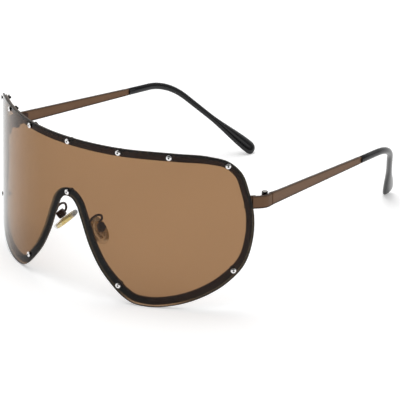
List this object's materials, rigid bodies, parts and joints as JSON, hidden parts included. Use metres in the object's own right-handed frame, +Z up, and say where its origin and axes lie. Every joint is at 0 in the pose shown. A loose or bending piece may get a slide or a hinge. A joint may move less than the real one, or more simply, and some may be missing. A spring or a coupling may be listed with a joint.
{
  "type": "sunglasses",
  "caption": "Wraparound shield sunglasses: one curved tinted lens screwed to a metal rim, folding temples with curved tips, and rocking nose pads.",
  "frame": {"origin": "on the table under the middle of the opened glasses, halfway along their length", "axes": "+X to the wearer's left, -Y the way the wearer looks, +Z up"},
  "size_m": [0.1376, 0.1648, 0.0643],
  "materials": {
    "brown_lens": "polished, tinted brown, see-through",
    "brown_metal": "satin",
    "dark_metal": "satin",
    "polished_steel": "polished",
    "dark_plastic": "glossy",
    "clear_silicone": "clear, soft",
    "gold_metal": "plated"
  },
  "bodies": {
    "front": {"lens_shield": "brown_lens", "rim_frame": "brown_metal", "lens_screw_top_centre": "polished_steel", "lens_nut_top_centre": "dark_metal", "lens_screw_nose": "polished_steel", "lens_nut_nose": "dark_metal", "lens_screw_top_inner_left": "polished_steel", "lens_nut_top_inner_left": "dark_metal", "lens_screw_top_inner_right": "polished_steel", "lens_nut_top_inner_right": "dark_metal", "lens_screw_top_middle_left": "polished_steel", "lens_nut_top_middle_left": "dark_metal", "lens_screw_top_middle_right": "polished_steel", "lens_nut_top_middle_right": "dark_metal", "lens_screw_top_outer_left": "polished_steel", "lens_nut_top_outer_left": "dark_metal", "lens_screw_top_outer_right": "polished_steel", "lens_nut_top_outer_right": "dark_metal", "lens_screw_bottom_outer_left": "polished_steel", "lens_nut_bottom_outer_left": "dark_metal", "lens_screw_bottom_outer_right": "polished_steel", "lens_nut_bottom_outer_right": "dark_metal", "lens_screw_bottom_inner_left": "polished_steel", "lens_nut_bottom_inner_left": "dark_metal", "lens_screw_bottom_inner_right": "polished_steel", "lens_nut_bottom_inner_right": "dark_metal", "endpiece_left": "brown_metal", "front_hinge_left": "dark_metal", "hinge_screw_left": "dark_metal", "pad_arm_left": "dark_metal", "pad_box_left": "dark_metal", "pad_screw_left": "dark_metal", "endpiece_right": "brown_metal", "front_hinge_right": "dark_metal", "hinge_screw_right": "dark_metal", "pad_arm_right": "dark_metal", "pad_box_right": "dark_metal", "pad_screw_right": "dark_metal"},
    "temple_left": {"temple_left": "brown_metal", "temple_tip_left": "dark_plastic", "temple_hinge_left": "dark_metal"},
    "temple_right": {"temple_right": "brown_metal", "temple_tip_right": "dark_plastic", "temple_hinge_right": "dark_metal"},
    "pad_left": {"nose_pad_left": "clear_silicone", "pad_insert_left": "gold_metal"},
    "pad_right": {"nose_pad_right": "clear_silicone", "pad_insert_right": "gold_metal"}
  },
  "joints": [
    {"name": "temple_fold_left", "type": "hinge", "parent": "front", "child": "temple_left", "pos_m": [0.0659, -0.04074, 0.04306], "axis": [0, 0, 1], "range_deg": [0, 80]},
    {"name": "temple_fold_right", "type": "hinge", "parent": "front", "child": "temple_right", "pos_m": [-0.0659, -0.04074, 0.04306], "axis": [0, 0, -1], "range_deg": [0, 74]},
    {"name": "pad_rock_left", "type": "hinge", "parent": "front", "child": "pad_left", "pos_m": [0.0104, -0.07386, 0.02666], "axis": [0.4067, 0.9135, 0], "range_deg": [-8, 8]},
    {"name": "pad_rock_right", "type": "hinge", "parent": "front", "child": "pad_right", "pos_m": [-0.0104, -0.07386, 0.02666], "axis": [0.4067, -0.9135, 0], "range_deg": [-8, 8]}
  ]
}
